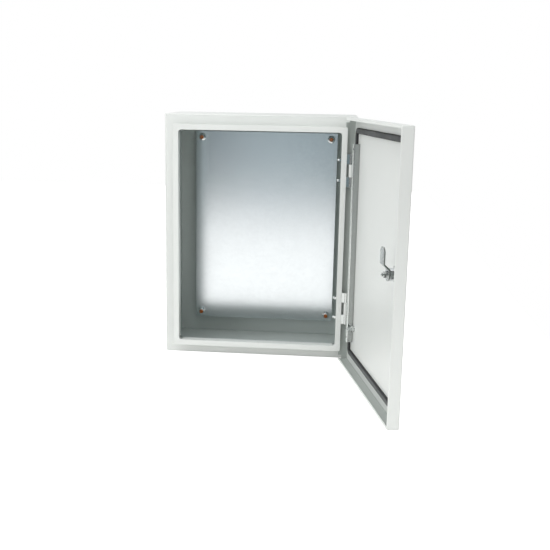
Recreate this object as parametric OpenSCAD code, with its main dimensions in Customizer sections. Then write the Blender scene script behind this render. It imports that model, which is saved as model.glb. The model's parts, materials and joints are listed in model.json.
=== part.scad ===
// Steel wall enclosure, single door, raised front lip, galvanised mounting plate.
// Origin: centre of the four wall fixings, on the outer face of the back panel.
// X runs to the right, Z up, and the front of the cabinet looks along -Y.

/* [Body] */
// Width of the body over its side walls
body_w = 390; // [340:5:600]
// Height of the body
body_h = 500; // [460:5:800]
// Depth from the back face to the recessed front frame
body_d = 175; // [140:5:300]
// Thickness of the body sheet
sheet = 1.5; // [1.2:0.1:2]
// Outside radius of the bent edges
edge_r = 3; // [2.5:0.5:5]

/* [Front lip] */
// Width of the recessed frame outside the lip
gutter_w = 20; // [18:1:22]
// Width of the flat face that the gasket meets
lip_w = 11; // [9:1:13]
// Height of the lip in front of the recessed frame
lip_h = 18; // [17:0.5:20]
// Corner radius of the opening
opening_r = 6; // [3:1:10]
// Corner radius of the lip's outer edge
lip_outer_r = 3; // [2:1:6]

/* [Door] */
// Distance that the door's edge stays inside the body's edge
door_inset = 1; // [0.5:0.5:1.5]
// Depth of the door from its rim to its outer face
door_depth = 21; // [21:0.5:23]
// Gap between the door's rim and the recessed frame
door_gap = 4; // [4:0.5:5]
// Thickness of the door sheet
door_sheet = 1.5; // [1.2:0.1:1.5]
// Width of the return along the top, bottom and free edges
door_return = 5; // [4:1:8]
// Length of the relief at the rim's corners
door_relief = 8; // [6:1:10]
// Angle at which the door stands, 0 when it is shut
door_open = 102.5; // [0:0.5:110]

/* [Gasket] */
// Width of the foam gasket
gasket_w = 12; // [10:1:14]
// Thickness of the foam gasket
gasket_t = 5; // [4:0.1:5]
// Corner radius of the gasket's outer edge
gasket_r = 10; // [7:1:14]

/* [Hinges] */
// Distance of the hinge axis inside the body's side
hinge_inset = 10.5; // [10:0.1:10.8]
// Distance of the hinge axis in front of the recessed frame
hinge_out = 16; // [15.8:0.1:16.4]
// Distance of the upper hinge's middle from the top of the body
hinge_top = 105.5; // [85:0.5:130]
// Distance of the lower hinge's middle from the bottom of the body
hinge_bottom = 111.5; // [85:0.5:130]
// Length of each plated knuckle
leaf_knuckle_l = 20; // [16:1:24]
// Length of the painted knuckle on the door
door_knuckle_l = 25; // [20:1:30]
// Gap between two knuckles
knuckle_gap = 0.4; // [0.2:0.1:0.8]
// Outside radius of the plated knuckle
leaf_knuckle_r = 3.7; // [3.5:0.1:4]
// Outside radius of the painted knuckle
door_knuckle_r = 4.8; // [4.4:0.1:5]
// Radius of the hinge pin
pin_r = 2; // [1.8:0.1:2.2]
// Thickness of the hinge leaf
leaf_t = 2; // [1.6:0.1:2]
// Distance between the two screws of one hinge
hinge_screw_pitch = 41; // [38:1:44]

/* [Lock] */
// Distance of the lock's axis from the free edge of the door
lock_edge = 48.5; // [48.5:0.5:56]
// Height of the lock's axis above the centre of the door
lock_z = 4.5; // [0:0.5:10]
// Radius of the lock's threaded barrel
lock_barrel_r = 11; // [10:0.5:11]
// Depth of the barrel behind the door's skin
lock_barrel_l = 15.5; // [14:0.5:16]
// Width across the flats of the lock's nut
lock_nut_af = 27; // [26:1:27]
// Length of the tongue from the lock's axis to its tip
tongue_l = 46.5; // [40:0.5:46.5]
// Width of the tongue
tongue_w = 22; // [14:1:24]
// Angle of the tongue, 0 when it is upright and 90 when it is locked
cam_turn = 0; // [0:5:90]

/* [Mounting plate] */
// Distance of the plate's sides from the sides of the body
plate_margin_x = 40; // [39:1:60]
// Distance of the plate's ends from the top and bottom of the body
plate_margin_z = 40; // [39:1:60]
// Distance of the plate's face from the back of the body
plate_out = 28; // [24:1:60]
// Thickness of the plate
plate_t = 2; // [1.5:0.5:3]
// Depth of the plate's folded edge
plate_fold = 9; // [6:1:12]
// Distance of the studs from the plate's sides
stud_in_x = 13.5; // [13:0.5:24]
// Distance of the studs from the plate's ends
stud_in_z = 13; // [12.5:0.5:24]

/* [Wall fixing] */
// Distance of the wall holes from the sides of the body
wall_in_x = 65; // [30:5:100]
// Distance of the wall holes from the top and bottom of the body
wall_in_z = 70; // [30:5:110]
// Radius of the wall holes
wall_hole_r = 4.25; // [3.5:0.25:5]

/* [Cable entries] */
// Number of knock-outs in the floor
knockout_n = 3; // [1:1:3]
// Radius of each knock-out
knockout_r = 13; // [10:0.5:16]
// Distance between knock-outs
knockout_pitch = 78; // [50:1:90]
// Distance of the knock-outs from the back of the body
knockout_y = 87; // [50:1:95]

/* [Door stiffener] */
// Distance of the stiffener's ends from the ends of the door
rail_end = 49.5; // [49.5:0.5:100]
// Height of the stiffener above the door's skin
rail_d = 12.5; // [10:0.5:13]
// Width of the stiffener's face
rail_w = 11; // [9:0.5:11]
// Distance of the stiffener's far side from the hinge edge of the door
rail_edge = 46.5; // [46:0.5:49]

/* [Hidden] */
$fn = 64;
fit = 0.05;           // running clearance on a radius
seat = 0.02;          // clearance of a pressed or screwed fit
over = 1;             // overshoot of a cutting tool

mitre_gap = 0.1;      // between two folded sides at a corner

front_y = -body_d;
lip_y = front_y - lip_h;
lip_back_y = lip_y + sheet;
opening_w = body_w - 2 * (gutter_w + lip_w);
opening_h = body_h - 2 * (gutter_w + lip_w);
lip_wall_x = opening_w / 2 + sheet;
frame_w = body_w - 2 * edge_r;
frame_h = body_h - 2 * edge_r;
wall_pitch_x = body_w - 2 * wall_in_x;
wall_pitch_z = body_h - 2 * wall_in_z;

door_w = body_w - 2 * door_inset;
door_h = body_h - 2 * door_inset;
door_rim_y = front_y - door_gap;
door_face_y = door_rim_y - door_depth;
skin_y = door_face_y + door_sheet;

hinge_x = body_w / 2 - hinge_inset;
hinge_y = front_y - hinge_out;
hinge_upper_z = body_h / 2 - hinge_top;
hinge_lower_z = hinge_bottom - body_h / 2;
hinge_half = door_knuckle_l / 2 + knuckle_gap + leaf_knuckle_l;
leaf_wall_t = 2.5;
leaf_clear = 0.1;
leaf_front_y = lip_back_y + leaf_clear;
leaf_back_y = front_y - 1;
leaf_cut_x = lip_wall_x + leaf_wall_t + 6;
pin_stub = 1.2;
pin_head_r = 3;
hinge_screw_y = front_y - 7;
hinge_screw_r = 2.5;
hinge_screw_l = 11.5;
hinge_head_r = 5;
hinge_nut_af = 8;
hinge_nut_t = 4;

gasket_cx = body_w / 2 - gutter_w - lip_w / 2;
gasket_cz = body_h / 2 - gutter_w - lip_w / 2;

plate_w = body_w - 2 * plate_margin_x;
plate_h = body_h - 2 * plate_margin_z;
stud_pitch_x = plate_w - 2 * stud_in_x;
stud_pitch_z = plate_h - 2 * stud_in_z;
stud_r = 4;
stud_l = 40;
stud_nut_af = 13;
stud_nut_t = 6.5;
stud_washer_r = 8;
stud_washer_t = 1.6;
spacer_r = 6;
plate_hole_r = 4.5;
plate_corner_r = 3;

knockout_slot = 1;
knockout_bridge_w = 18;

rail_x = door_w / 2 - rail_edge;
rail_half = door_h / 2 - rail_end;
rail_t = 1.5;
rail_hole_r = 2.5;
rail_hole_end = 10;

earth_edge = 55;
earth_rise = 80;
earth_x = door_w / 2 - earth_edge;
earth_z = earth_rise - door_h / 2;
earth_r = 3;
earth_l = 18;
earth_washer_r = 6;
earth_washer_t = 1.2;
earth_nut_af = 10;
earth_nut_t = 5;

lock_x = door_w / 2 - lock_edge;
lock_flange_r = 14;
lock_flange_t = 3;
lock_seal_t = 0.8;
lock_seal_r = 13.4;
lock_washer_t = 1.5;
lock_washer_r = 13.6;
lock_tooth_n = 8;
lock_tooth_r = 15;
lock_tooth_w = 3;
lock_nut_t = 5;
lock_back_y = skin_y + lock_barrel_l;
lock_flange_y = door_face_y - lock_seal_t - lock_flange_t;
spindle_r = 6;
spindle_head_r = 8;
spindle_head_t = 1.5;
spindle_square = 8;
cam_t = 3;
cam_hub_y = lock_back_y + 0.2;
cam_hub_r = 11;
cam_bend_in = 10;
cam_bend_out = 19;
tongue_chamfer = 6;
tongue_clear = 0.6;
tongue_y = front_y + sheet + tongue_clear;
cam_bolt_r = 3;
cam_bolt_in = 8;
cam_bolt_tip = 3.8;
cam_nut_af = 10;
cam_nut_t = 5;
cam_washer_r = 6.5;
cam_washer_t = 1.2;
cam_nut_y = cam_hub_y + cam_t + cam_washer_t;
key_recess_r = 4.6;
key_recess_d = 5;
key_pin_r = 1.6;
key_bit_w = 7.6;
key_bit_t = 2.6;

paint = "#E3E6E4";
zinc = "#B8BEC4";
galvanised = "#9FAEB6";
copper = "#A9714B";
foam = "#2B2D2D";
chrome = "#CDD0D2";
rubber = "#1E1F20";

// ---- Helpers ----

// Extrudes an outline drawn in X and Z from y0 to y1
module along_y(y0, y1) {
    translate([0, y1, 0]) rotate([90, 0, 0]) linear_extrude(y1 - y0) children();
}

// A rectangle with round corners, centred
module rounded_rect(w, h, r) {
    square([w - 2 * r, h], center = true);
    square([w, h - 2 * r], center = true);
    for (sx = [-1, 1], sy = [-1, 1])
        translate([sx * (w / 2 - r), sy * (h / 2 - r)]) circle(r);
}

// A rectangular frame with its own radius outside and inside
module frame_outline(w, h, r, w_in, h_in, r_in) {
    difference() {
        rounded_rect(w, h, r);
        rounded_rect(w_in, h_in, r_in);
    }
}

// Side view of a folded edge: round at y0, open at y1
module fold_profile(w, r, y0, y1) {
    translate([-w / 2, y0 + r]) square([w, y1 - y0 - r]);
    translate([-w / 2 + r, y0]) square([w - 2 * r, 2 * r]);
    for (sx = [-1, 1])
        translate([sx * (w / 2 - r), y0 + r]) circle(r);
}

// A pan folded from sheet: every outside edge is a bend of radius r, except round y1
module folded_block(w, h, r, y0, y1) {
    intersection() {
        along_y(y0, y1) rounded_rect(w, h, r);
        linear_extrude(h + 2 * over, center = true) fold_profile(w, r, y0, y1);
        rotate([0, -90, 0]) linear_extrude(w + 2 * over, center = true) fold_profile(h, r, y0, y1);
    }
}

// A round bar along Y from y0 to y1
module bar_y(r, y0, y1) {
    translate([0, y1, 0]) rotate([90, 0, 0]) cylinder(r = r, h = y1 - y0);
}

// A round bar along X from x0 to x1
module bar_x(r, x0, x1) {
    translate([x0, 0, 0]) rotate([0, 90, 0]) cylinder(r = r, h = x1 - x0);
}

// A hexagonal bar along Y, af across its flats
module hex_y(af, y0, y1) {
    translate([0, y1, 0]) rotate([90, 0, 0]) cylinder(d = af / cos(30), h = y1 - y0, $fn = 6);
}

// A washer along Y
module washer_y(r, hole_r, y0, t) {
    difference() {
        bar_y(r, y0, y0 + t);
        bar_y(hole_r, y0 - over, y0 + t + over);
    }
}

// A nut along Y
module nut_y(af, hole_r, y0, t) {
    difference() {
        hex_y(af, y0, y0 + t);
        bar_y(hole_r, y0 - over, y0 + t + over);
    }
}

// Places its children at each corner of a rectangle in X and Z
module corners(pitch_x, pitch_z) {
    for (sx = [-1, 1], sz = [-1, 1])
        translate([sx * pitch_x / 2, 0, sz * pitch_z / 2]) children();
}

// Turns what is drawn shut to the door's angle
module on_door() {
    translate([hinge_x, hinge_y, 0]) rotate([0, 0, door_open])
        translate([-hinge_x, -hinge_y, 0]) children();
}

// Places what is drawn on the Y axis on the lock's axis
module on_lock() {
    on_door() translate([-lock_x, 0, lock_z]) children();
}

// Turns what is drawn upright to the tongue's angle
module on_cam() {
    on_lock() rotate([0, -cam_turn, 0]) children();
}

// ---- Body ----

module opening() {
    rounded_rect(opening_w, opening_h, opening_r);
}

module hinge_screw_places() {
    for (z = [hinge_lower_z, hinge_upper_z], ss = [-1, 1])
        translate([0, hinge_screw_y, z + ss * hinge_screw_pitch / 2]) children();
}

module knockout_places() {
    for (i = [0 : knockout_n - 1])
        translate([(i - (knockout_n - 1) / 2) * knockout_pitch, -knockout_y, -body_h / 2]) children();
}

// One side of the frame round an opening of w by h, cut at 45 degrees through its corners
module mitre_outline(w, h) {
    inner = opening_r + over;
    outer = gutter_w + lip_w + over;
    back = mitre_gap / sqrt(2);
    polygon([
        [inner + back - w / 2, h / 2 - inner], [w / 2 - inner - back, h / 2 - inner],
        [w / 2 + outer - back, h / 2 + outer], [back - w / 2 - outer, h / 2 + outer]
    ]);
}

// Parts what is drawn round the opening into four mitred sides
module mitred_sides() {
    for (side = [0 : 3]) intersection() {
        children();
        rotate([0, side * 90, 0]) along_y(lip_y - over, over)
            mitre_outline(side % 2 == 0 ? opening_w : opening_h,
                          side % 2 == 0 ? opening_h : opening_w);
    }
}

// The four walls with their bent edges
module body_shell() {
    color(paint) difference() {
        folded_block(body_w, body_h, edge_r, front_y, 0);
        folded_block(body_w - 2 * sheet, body_h - 2 * sheet, edge_r - sheet, front_y + sheet, over);
        along_y(front_y - over, over) square([frame_w, frame_h], center = true);
        knockout_places() translate([0, 0, -over])
            cylinder(r = knockout_r + knockout_slot, h = sheet + 2 * over);
    }
}

// The walls' folds round the front, recessed behind the lip
module front_frame() {
    color(paint) mitred_sides() along_y(front_y, front_y + sheet) difference() {
        square([frame_w, frame_h], center = true);
        rounded_rect(opening_w + 2 * sheet, opening_h + 2 * sheet, opening_r + sheet);
    }
}

// The lip that stands round the opening, with its face turned outwards
module front_lip() {
    color(paint) mitred_sides() difference() {
        union() {
            along_y(lip_y, front_y + sheet)
                frame_outline(opening_w + 2 * sheet, opening_h + 2 * sheet, opening_r + sheet,
                              opening_w, opening_h, opening_r);
            along_y(lip_y, lip_back_y)
                frame_outline(opening_w + 2 * lip_w, opening_h + 2 * lip_w, lip_outer_r,
                              opening_w, opening_h, opening_r);
        }
        hinge_screw_places()
            bar_x(hinge_screw_r + fit, opening_w / 2 - over, lip_wall_x + over);
    }
}

module back_panel() {
    color(paint) difference() {
        along_y(-sheet, 0)
            rounded_rect(body_w - 2 * sheet, body_h - 2 * sheet, edge_r - sheet);
        corners(wall_pitch_x, wall_pitch_z) bar_y(wall_hole_r, -sheet - over, over);
    }
}

// Blanks held in the floor by a broad bridge in front and behind
module knockout_blanks() {
    color(paint) knockout_places() {
        cylinder(r = knockout_r, h = sheet);
        intersection() {
            cylinder(r = knockout_r + knockout_slot, h = sheet);
            translate([-knockout_bridge_w / 2, -2 * knockout_r, 0])
                cube([knockout_bridge_w, 4 * knockout_r, sheet]);
        }
    }
}

// ---- Mounting plate ----

module plate_studs() {
    color(copper) corners(stud_pitch_x, stud_pitch_z) bar_y(stud_r, -stud_l, -sheet);
}

module plate_spacers() {
    color(zinc) corners(stud_pitch_x, stud_pitch_z)
        washer_y(spacer_r, stud_r + fit, -plate_out + plate_t, plate_out - plate_t - sheet);
}

module mounting_plate() {
    color(galvanised) difference() {
        along_y(-plate_out, -plate_out + plate_fold) rounded_rect(plate_w, plate_h, plate_corner_r);
        along_y(-plate_out + plate_t, -plate_out + plate_fold + over)
            rounded_rect(plate_w - 2 * plate_t, plate_h - 2 * plate_t, plate_corner_r - plate_t);
        corners(stud_pitch_x, stud_pitch_z) bar_y(plate_hole_r, -plate_out - over, 0);
    }
}

module plate_washers() {
    color(zinc) corners(stud_pitch_x, stud_pitch_z)
        washer_y(stud_washer_r, stud_r + fit, -plate_out - stud_washer_t, stud_washer_t);
}

module plate_nuts() {
    color(zinc) corners(stud_pitch_x, stud_pitch_z)
        nut_y(stud_nut_af, stud_r + seat, -plate_out - stud_washer_t - stud_nut_t, stud_nut_t);
}

// ---- Hinges ----

// Plated leaf: bolted inside the gutter, reaching round behind the lip to its two knuckles
module hinge_leaf(z) {
    color(zinc) translate([0, 0, z]) difference() {
        union() {
            translate([lip_wall_x, leaf_front_y, -hinge_half])
                cube([leaf_wall_t, leaf_back_y - leaf_front_y, 2 * hinge_half]);
            translate([lip_wall_x, leaf_front_y, -hinge_half])
                cube([leaf_cut_x - lip_wall_x, leaf_t, 2 * hinge_half]);
            for (z0 = [-hinge_half, hinge_half - leaf_knuckle_l]) {
                translate([lip_wall_x, leaf_front_y, z0])
                    cube([hinge_x - lip_wall_x, leaf_t, leaf_knuckle_l]);
                translate([hinge_x, hinge_y, z0]) cylinder(r = leaf_knuckle_r, h = leaf_knuckle_l);
            }
        }
        translate([hinge_x, hinge_y, -hinge_half - over])
            cylinder(r = pin_r + seat, h = 2 * hinge_half + 2 * over);
        for (ss = [-1, 1]) translate([0, hinge_screw_y, ss * hinge_screw_pitch / 2]) {
            bar_x(hinge_screw_r + fit, lip_wall_x - over, lip_wall_x + leaf_wall_t + over);
            translate([lip_wall_x, 0, 0]) rotate([0, 90, 0])
                cylinder(r1 = hinge_screw_r + fit, r2 = hinge_head_r + fit, h = leaf_wall_t);
        }
    }
}

module hinge_pin(z) {
    color(zinc) translate([hinge_x, hinge_y, z]) {
        translate([0, 0, -hinge_half - pin_stub])
            cylinder(r = pin_r, h = 2 * (hinge_half + pin_stub));
        translate([0, 0, hinge_half]) cylinder(r = pin_head_r, h = pin_stub);
    }
}

// Countersunk screws, heads flush with the leaf and ends inside the opening
module hinge_screws() {
    color(zinc) hinge_screw_places() {
        bar_x(hinge_screw_r, lip_wall_x + leaf_wall_t - hinge_screw_l, lip_wall_x + leaf_wall_t - seat);
        translate([lip_wall_x + seat, 0, 0]) rotate([0, 90, 0])
            cylinder(r1 = hinge_screw_r, r2 = hinge_head_r, h = leaf_wall_t - 2 * seat);
    }
}

module hinge_nuts() {
    color(zinc) hinge_screw_places() difference() {
        translate([opening_w / 2 - hinge_nut_t, 0, 0]) rotate([0, 90, 0])
            cylinder(d = hinge_nut_af / cos(30), h = hinge_nut_t, $fn = 6);
        bar_x(hinge_screw_r + seat, opening_w / 2 - hinge_nut_t - over, opening_w / 2 + over);
    }
}

// Painted knuckle, welded to the inside of the door
module door_knuckle(z) {
    color(paint) on_door() translate([hinge_x, hinge_y, z]) difference() {
        union() {
            translate([0, 0, -door_knuckle_l / 2]) cylinder(r = door_knuckle_r, h = door_knuckle_l);
            translate([-door_knuckle_r, skin_y - hinge_y, -door_knuckle_l / 2])
                cube([2 * door_knuckle_r, hinge_y - skin_y, door_knuckle_l]);
        }
        translate([0, 0, -door_knuckle_l / 2 - over])
            cylinder(r = pin_r + fit, h = door_knuckle_l + 2 * over);
    }
}

// ---- Door ----

// The returns along the rim's top, bottom and free edges, short of the hinge side
module door_returns() {
    along_y(door_rim_y - door_sheet, door_rim_y) difference() {
        rounded_rect(door_w, door_h, edge_r);
        translate([-door_w / 2 + door_return, -door_h / 2 + door_return])
            square([door_w, door_h - 2 * door_return]);
        translate([door_w / 2 - door_relief, -door_h / 2 + door_sheet])
            square([door_relief + over, door_h - 2 * door_sheet]);
    }
}

// Folded pan: flat skin and four edges, with a relief at both corners of the hinge side
module door_shell() {
    color(paint) on_door() difference() {
        union() {
            difference() {
                folded_block(door_w, door_h, edge_r, door_face_y, door_rim_y);
                folded_block(door_w - 2 * door_sheet, door_h - 2 * door_sheet,
                             edge_r - door_sheet, skin_y, door_rim_y + over);
            }
            door_returns();
        }
        for (sz = [-1, 1])
            translate([door_w / 2 - edge_r, door_rim_y - door_relief,
                       sz > 0 ? door_h / 2 - door_sheet - door_relief : -door_h / 2 + door_sheet])
                cube([edge_r + over, door_relief + over, door_relief]);
        translate([-lock_x, 0, lock_z])
            bar_y(lock_barrel_r + fit, door_face_y - over, skin_y + over);
    }
}

module door_gasket() {
    color(foam) on_door() along_y(skin_y, skin_y + gasket_t)
        frame_outline(2 * gasket_cx + gasket_w, 2 * gasket_cz + gasket_w, gasket_r,
                      2 * gasket_cx - gasket_w, 2 * gasket_cz - gasket_w, gasket_r / 2);
}

// Folded channel: foot on the door's skin, web, and a face with a hole near each end
module door_stiffener() {
    color(galvanised) on_door() difference() {
        translate([rail_x, skin_y, -rail_half]) difference() {
            cube([rail_w, rail_d, 2 * rail_half]);
            translate([rail_t, rail_t, -over])
                cube([rail_w, rail_d - 2 * rail_t, 2 * rail_half + 2 * over]);
        }
        for (sz = [-1, 1])
            translate([rail_x + rail_w / 2, 0, sz * (rail_half - rail_hole_end)])
                bar_y(rail_hole_r, skin_y + rail_d - rail_t - over, skin_y + rail_d + over);
    }
}

module on_earth_point() {
    on_door() translate([earth_x, 0, earth_z]) children();
}

module door_earth_stud() {
    color(zinc) on_earth_point() bar_y(earth_r, skin_y, skin_y + earth_l);
}

module door_earth_washers() {
    color(zinc) on_earth_point() for (i = [0, 1])
        washer_y(earth_washer_r, earth_r + fit,
                 skin_y + i * (earth_washer_t + earth_nut_t), earth_washer_t);
}

module door_earth_nuts() {
    color(zinc) on_earth_point() for (i = [0, 1])
        nut_y(earth_nut_af, earth_r + seat,
              skin_y + earth_washer_t + i * (earth_washer_t + earth_nut_t), earth_nut_t);
}

// ---- Lock ----

module lock_housing() {
    color(chrome) on_lock() difference() {
        union() {
            bar_y(lock_flange_r, lock_flange_y, lock_flange_y + lock_flange_t);
            bar_y(lock_barrel_r, lock_flange_y, lock_back_y);
        }
        bar_y(spindle_r + fit, lock_flange_y - over, lock_back_y + over);
        bar_y(spindle_head_r + fit, lock_flange_y - over, lock_flange_y + spindle_head_t);
    }
}

module lock_seal() {
    color(rubber) on_lock()
        washer_y(lock_seal_r, lock_barrel_r + fit, door_face_y - lock_seal_t, lock_seal_t);
}

// Toothed washer that bites through the paint
module lock_washer() {
    color(zinc) on_lock() difference() {
        union() {
            bar_y(lock_washer_r, skin_y, skin_y + lock_washer_t);
            for (k = [0 : lock_tooth_n - 1])
                rotate([0, k * 360 / lock_tooth_n, 0])
                    translate([lock_barrel_r + 1, skin_y, -lock_tooth_w / 2])
                        cube([lock_tooth_r - lock_barrel_r - 1, lock_washer_t, lock_tooth_w]);
        }
        bar_y(lock_barrel_r + fit, skin_y - over, skin_y + lock_washer_t + over);
    }
}

module lock_nut() {
    color(zinc) on_lock()
        nut_y(lock_nut_af, lock_barrel_r + seat, skin_y + lock_washer_t, lock_nut_t);
}

// Turning insert: double-bit key socket at the front, square at the back
module lock_spindle() {
    color(zinc) on_cam() difference() {
        union() {
            difference() {
                union() {
                    bar_y(spindle_head_r, lock_flange_y, lock_flange_y + spindle_head_t - seat);
                    bar_y(spindle_r, lock_flange_y, lock_back_y);
                }
                bar_y(key_recess_r, lock_flange_y - over, lock_flange_y + key_recess_d);
            }
            bar_y(key_pin_r, lock_flange_y + 1, lock_flange_y + key_recess_d + over);
            translate([-key_bit_t / 2, lock_flange_y + 1, -key_bit_w / 2])
                cube([key_bit_t, key_recess_d, key_bit_w]);
            translate([-spindle_square / 2, lock_back_y - over, -spindle_square / 2])
                cube([spindle_square, cam_t + over + cam_hub_y - lock_back_y, spindle_square]);
        }
        bar_y(cam_bolt_r + seat, cam_hub_y - cam_bolt_in, cam_hub_y + cam_t + over);
    }
}

// Flat outline of the cam seen along the lock's axis: round hub and a tongue with cut corners
module cam_outline() {
    circle(cam_hub_r);
    polygon([
        [-cam_hub_r, 0], [cam_hub_r, 0],
        [tongue_w / 2, cam_bend_out], [tongue_w / 2, tongue_l - tongue_chamfer],
        [tongue_w / 2 - tongue_chamfer, tongue_l], [tongue_chamfer - tongue_w / 2, tongue_l],
        [-tongue_w / 2, tongue_l - tongue_chamfer], [-tongue_w / 2, cam_bend_out]
    ]);
}

// Side view of the cam: hub, crank and tongue, in distance from the axis and depth
module cam_side() {
    polygon([
        [-cam_hub_r, cam_hub_y], [cam_bend_in, cam_hub_y],
        [cam_bend_out, tongue_y], [tongue_l, tongue_y],
        [tongue_l, tongue_y + cam_t], [cam_bend_out - cam_t / 2, tongue_y + cam_t],
        [cam_bend_in - cam_t / 2, cam_hub_y + cam_t], [-cam_hub_r, cam_hub_y + cam_t]
    ]);
}

module lock_cam() {
    color(zinc) on_cam() difference() {
        intersection() {
            along_y(cam_hub_y - over, tongue_y + cam_t + over) cam_outline();
            rotate([0, -90, 0]) linear_extrude(tongue_w + 2 * cam_hub_r, center = true) cam_side();
        }
        translate([-spindle_square / 2 - seat, cam_hub_y - over, -spindle_square / 2 - seat])
            cube([spindle_square + 2 * seat, cam_t + 2 * over, spindle_square + 2 * seat]);
    }
}

module lock_cam_washer() {
    color(zinc) on_cam()
        washer_y(cam_washer_r, cam_bolt_r + fit, cam_hub_y + cam_t, cam_washer_t);
}

module lock_cam_bolt() {
    color(zinc) on_cam()
        bar_y(cam_bolt_r, cam_hub_y - cam_bolt_in, cam_nut_y + cam_nut_t + cam_bolt_tip);
}

module lock_cam_nut() {
    color(zinc) on_cam() nut_y(cam_nut_af, cam_bolt_r + seat, cam_nut_y, cam_nut_t);
}

// ---- Nodes ----

body_shell();
front_frame();
front_lip();
back_panel();
knockout_blanks();
plate_studs();
plate_spacers();
mounting_plate();
plate_washers();
plate_nuts();
hinge_leaf(hinge_upper_z);  // hinge_leaf_upper
hinge_leaf(hinge_lower_z);  // hinge_leaf_lower
hinge_pin(hinge_upper_z);  // hinge_pin_upper
hinge_pin(hinge_lower_z);  // hinge_pin_lower
hinge_screws();
hinge_nuts();
door_shell();
door_knuckle(hinge_upper_z);  // door_knuckle_upper
door_knuckle(hinge_lower_z);  // door_knuckle_lower
door_gasket();
door_stiffener();
door_earth_stud();
door_earth_washers();
door_earth_nuts();
lock_housing();
lock_seal();
lock_washer();
lock_nut();
lock_spindle();
lock_cam();
lock_cam_washer();
lock_cam_bolt();
lock_cam_nut();
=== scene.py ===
"""Steel wall enclosure: finishes, fasteners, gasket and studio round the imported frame."""

import json
import math

import bmesh
import bpy
from mathutils import Matrix, Vector


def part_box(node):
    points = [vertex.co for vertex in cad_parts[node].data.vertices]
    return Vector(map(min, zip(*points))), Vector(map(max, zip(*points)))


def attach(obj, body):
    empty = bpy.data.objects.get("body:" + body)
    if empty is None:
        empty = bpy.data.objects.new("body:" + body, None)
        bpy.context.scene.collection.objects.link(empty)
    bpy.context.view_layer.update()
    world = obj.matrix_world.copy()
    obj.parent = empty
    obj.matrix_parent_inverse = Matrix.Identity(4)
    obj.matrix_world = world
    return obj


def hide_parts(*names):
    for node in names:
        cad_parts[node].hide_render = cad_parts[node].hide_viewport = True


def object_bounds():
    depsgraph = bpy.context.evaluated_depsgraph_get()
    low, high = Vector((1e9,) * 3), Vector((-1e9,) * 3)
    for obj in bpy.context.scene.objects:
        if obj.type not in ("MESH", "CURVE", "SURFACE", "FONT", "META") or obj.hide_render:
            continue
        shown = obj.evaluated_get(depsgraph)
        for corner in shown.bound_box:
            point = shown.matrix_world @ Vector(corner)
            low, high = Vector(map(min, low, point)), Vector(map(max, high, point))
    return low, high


bl_info = {
    "name": "Steel Wall Enclosure",
    "version": (1, 0, 0),
    "blender": (4, 5, 0),
    "location": "3D View > Sidebar > Enclosure",
    "description": "Dresses a painted steel wall enclosure with an open door",
    "category": "Object",
}

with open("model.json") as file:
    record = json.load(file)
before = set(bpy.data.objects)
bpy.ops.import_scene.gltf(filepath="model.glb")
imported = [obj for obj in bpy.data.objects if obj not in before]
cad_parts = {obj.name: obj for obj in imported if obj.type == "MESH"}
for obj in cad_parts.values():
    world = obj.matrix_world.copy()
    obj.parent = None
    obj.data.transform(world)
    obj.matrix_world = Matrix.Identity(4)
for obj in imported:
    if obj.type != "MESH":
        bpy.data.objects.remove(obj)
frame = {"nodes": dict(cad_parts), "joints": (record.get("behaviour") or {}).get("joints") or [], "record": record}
cad_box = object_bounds()
MM = 0.001
NODES = frame["nodes"]
JOINTS = {joint["name"]: joint for joint in frame["joints"]}
BODY_OF = {
    node: body
    for body, nodes in frame["record"]["behaviour"]["bodies"].items()
    for node in nodes
}
HINGE = JOINTS["door_hinge"]
HINGE_POINT = Vector(HINGE["pos_m"])
OPEN_ANGLE = -math.radians(HINGE["range_deg"][0])
TO_OPEN = (Matrix.Translation(HINGE_POINT) @ Matrix.Rotation(OPEN_ANGLE, 4, "Z")
           @ Matrix.Translation(-HINGE_POINT))
INWARD = TO_OPEN.to_3x3() @ Vector((0, 1, 0))
DOOR_SKIN = -198.5 * MM
GASKET_CROWN = DOOR_SKIN + 4.95 * MM
SHEET = 1.5 * MM
# Inputs of a mix node that is set to colours, and its output.
FACTOR, LOW, HIGH, MIXED = 0, 6, 7, 2
WHITE = (1, 1, 1, 1)


# ---------------------------------------------------------------- settings


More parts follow.
